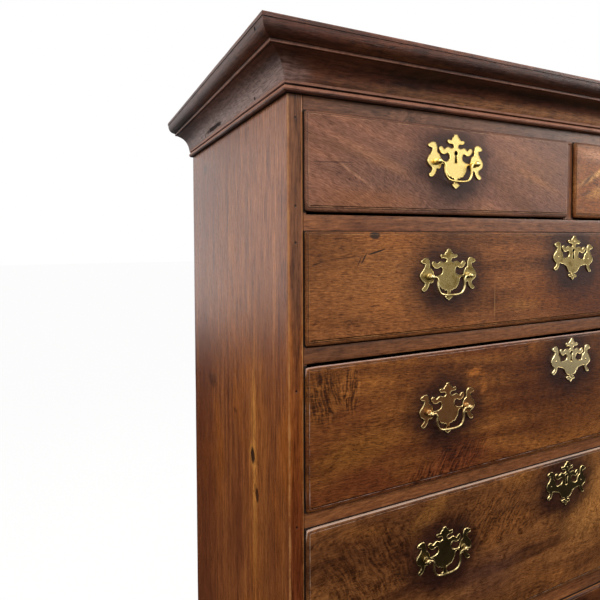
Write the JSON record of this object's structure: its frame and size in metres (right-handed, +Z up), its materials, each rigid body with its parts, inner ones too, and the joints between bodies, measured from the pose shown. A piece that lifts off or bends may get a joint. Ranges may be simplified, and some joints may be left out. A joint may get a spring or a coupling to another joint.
{
  "type": "highboy",
  "caption": "Flat-top walnut highboy with lipped graduated drawers, a moulded cornice, pierced brass pulls with swinging bails, and cabriole legs.",
  "frame": {"origin": "on the floor, in the middle of the bounding box", "axes": "+X to the right seen from the front, +Y to the back, +Z up; the drawers open towards -Y"},
  "size_m": [1.08, 0.56, 1.9285],
  "materials": {
    "walnut": "old polished walnut, red-brown, worn at the edges",
    "figured_walnut": "old polished figured walnut, purple-brown to golden brown",
    "secondary_wood": "unpolished pale softwood, oxidised brown",
    "brass": "old cast brass, polished on the rims and dull in the hollows"
  },
  "bodies": {
    "case": {"upper_side_left": "walnut", "upper_side_right": "walnut", "upper_back_top_bottom": "secondary_wood", "upper_face_frame": "walnut", "cornice": "walnut", "waist_moulding": "walnut", "lower_case": "walnut", "lower_front": "walnut", "leg_front_left": "walnut", "leg_front_right": "walnut", "leg_back_left": "walnut", "leg_back_right": "walnut"},
    "upper_short_left": {"upper_short_left_front": "figured_walnut", "upper_short_left_box": "secondary_wood", "upper_short_left_pull_plate": "brass"},
    "upper_short_left_pull_swing": {"upper_short_left_pull_bail": "brass"},
    "upper_short_right": {"upper_short_right_front": "figured_walnut", "upper_short_right_box": "secondary_wood", "upper_short_right_pull_plate": "brass"},
    "upper_short_right_pull_swing": {"upper_short_right_pull_bail": "brass"},
    "upper_long_1": {"upper_long_1_front": "figured_walnut", "upper_long_1_box": "secondary_wood", "upper_long_1_pull_left_plate": "brass", "upper_long_1_pull_right_plate": "brass", "upper_long_1_escutcheon": "brass"},
    "upper_long_1_pull_left_swing": {"upper_long_1_pull_left_bail": "brass"},
    "upper_long_1_pull_right_swing": {"upper_long_1_pull_right_bail": "brass"},
    "upper_long_2": {"upper_long_2_front": "figured_walnut", "upper_long_2_box": "secondary_wood", "upper_long_2_pull_left_plate": "brass", "upper_long_2_pull_right_plate": "brass", "upper_long_2_escutcheon": "brass"},
    "upper_long_2_pull_left_swing": {"upper_long_2_pull_left_bail": "brass"},
    "upper_long_2_pull_right_swing": {"upper_long_2_pull_right_bail": "brass"},
    "upper_long_3": {"upper_long_3_front": "figured_walnut", "upper_long_3_box": "secondary_wood", "upper_long_3_pull_left_plate": "brass", "upper_long_3_pull_right_plate": "brass", "upper_long_3_escutcheon": "brass"},
    "upper_long_3_pull_left_swing": {"upper_long_3_pull_left_bail": "brass"},
    "upper_long_3_pull_right_swing": {"upper_long_3_pull_right_bail": "brass"},
    "upper_long_4": {"upper_long_4_front": "figured_walnut", "upper_long_4_box": "secondary_wood", "upper_long_4_pull_left_plate": "brass", "upper_long_4_pull_right_plate": "brass", "upper_long_4_escutcheon": "brass"},
    "upper_long_4_pull_left_swing": {"upper_long_4_pull_left_bail": "brass"},
    "upper_long_4_pull_right_swing": {"upper_long_4_pull_right_bail": "brass"},
    "lower_left": {"lower_left_front": "figured_walnut", "lower_left_box": "secondary_wood", "lower_left_pull_plate": "brass"},
    "lower_left_pull_swing": {"lower_left_pull_bail": "brass"},
    "lower_right": {"lower_right_front": "figured_walnut", "lower_right_box": "secondary_wood", "lower_right_pull_plate": "brass"},
    "lower_right_pull_swing": {"lower_right_pull_bail": "brass"},
    "lower_centre": {"lower_centre_front": "figured_walnut", "lower_centre_box": "secondary_wood", "lower_centre_pull_plate": "brass"},
    "lower_centre_pull_swing": {"lower_centre_pull_bail": "brass"}
  },
  "joints": [
    {"name": "upper_short_left_slide", "type": "slide", "parent": "case", "child": "upper_short_left", "axis": [0, -1, 0], "range_m": [0, 0.34]},
    {"name": "upper_short_left_pull_hinge", "type": "hinge", "parent": "upper_short_left", "child": "upper_short_left_pull_swing", "pos_m": [-0.2402, -0.2421, 1.7968], "axis": [-1, 0, 0], "range_deg": [-5, 170]},
    {"name": "upper_short_right_slide", "type": "slide", "parent": "case", "child": "upper_short_right", "axis": [0, -1, 0], "range_m": [0, 0.34]},
    {"name": "upper_short_right_pull_hinge", "type": "hinge", "parent": "upper_short_right", "child": "upper_short_right_pull_swing", "pos_m": [0.2402, -0.2421, 1.7968], "axis": [-1, 0, 0], "range_deg": [-5, 170]},
    {"name": "upper_long_1_slide", "type": "slide", "parent": "case", "child": "upper_long_1", "axis": [0, -1, 0], "range_m": [0, 0.34]},
    {"name": "upper_long_1_pull_left_hinge", "type": "hinge", "parent": "upper_long_1", "child": "upper_long_1_pull_left_swing", "pos_m": [-0.2515, -0.2421, 1.64203], "axis": [-1, 0, 0], "range_deg": [-5, 170]},
    {"name": "upper_long_1_pull_right_hinge", "type": "hinge", "parent": "upper_long_1", "child": "upper_long_1_pull_right_swing", "pos_m": [0.2515, -0.2421, 1.64203], "axis": [-1, 0, 0], "range_deg": [-5, 170]},
    {"name": "upper_long_2_slide", "type": "slide", "parent": "case", "child": "upper_long_2", "axis": [0, -1, 0], "range_m": [0, 0.34]},
    {"name": "upper_long_2_pull_left_hinge", "type": "hinge", "parent": "upper_long_2", "child": "upper_long_2_pull_left_swing", "pos_m": [-0.2518, -0.2421, 1.45688], "axis": [-1, 0, 0], "range_deg": [-5, 170]},
    {"name": "upper_long_2_pull_right_hinge", "type": "hinge", "parent": "upper_long_2", "child": "upper_long_2_pull_right_swing", "pos_m": [0.2518, -0.2421, 1.45688], "axis": [-1, 0, 0], "range_deg": [-5, 170]},
    {"name": "upper_long_3_slide", "type": "slide", "parent": "case", "child": "upper_long_3", "axis": [0, -1, 0], "range_m": [0, 0.34]},
    {"name": "upper_long_3_pull_left_hinge", "type": "hinge", "parent": "upper_long_3", "child": "upper_long_3_pull_left_swing", "pos_m": [-0.256, -0.2421, 1.2547], "axis": [-1, 0, 0], "range_deg": [-5, 170]},
    {"name": "upper_long_3_pull_right_hinge", "type": "hinge", "parent": "upper_long_3", "child": "upper_long_3_pull_right_swing", "pos_m": [0.256, -0.2421, 1.2547], "axis": [-1, 0, 0], "range_deg": [-5, 170]},
    {"name": "upper_long_4_slide", "type": "slide", "parent": "case", "child": "upper_long_4", "axis": [0, -1, 0], "range_m": [0, 0.34]},
    {"name": "upper_long_4_pull_left_hinge", "type": "hinge", "parent": "upper_long_4", "child": "upper_long_4_pull_left_swing", "pos_m": [-0.255, -0.2421, 0.9949], "axis": [-1, 0, 0], "range_deg": [-5, 170]},
    {"name": "upper_long_4_pull_right_hinge", "type": "hinge", "parent": "upper_long_4", "child": "upper_long_4_pull_right_swing", "pos_m": [0.255, -0.2421, 0.9949], "axis": [-1, 0, 0], "range_deg": [-5, 170]},
    {"name": "lower_left_slide", "type": "slide", "parent": "case", "child": "lower_left", "axis": [0, -1, 0], "range_m": [0, 0.34]},
    {"name": "lower_left_pull_hinge", "type": "hinge", "parent": "lower_left", "child": "lower_left_pull_swing", "pos_m": [-0.326, -0.2626, 0.697], "axis": [-1, 0, 0], "range_deg": [-5, 170]},
    {"name": "lower_right_slide", "type": "slide", "parent": "case", "child": "lower_right", "axis": [0, -1, 0], "range_m": [0, 0.34]},
    {"name": "lower_right_pull_hinge", "type": "hinge", "parent": "lower_right", "child": "lower_right_pull_swing", "pos_m": [0.326, -0.2626, 0.697], "axis": [-1, 0, 0], "range_deg": [-5, 170]},
    {"name": "lower_centre_slide", "type": "slide", "parent": "case", "child": "lower_centre", "axis": [0, -1, 0], "range_m": [0, 0.34]},
    {"name": "lower_centre_pull_hinge", "type": "hinge", "parent": "lower_centre", "child": "lower_centre_pull_swing", "pos_m": [0, -0.2626, 0.7395], "axis": [-1, 0, 0], "range_deg": [-5, 170]}
  ]
}
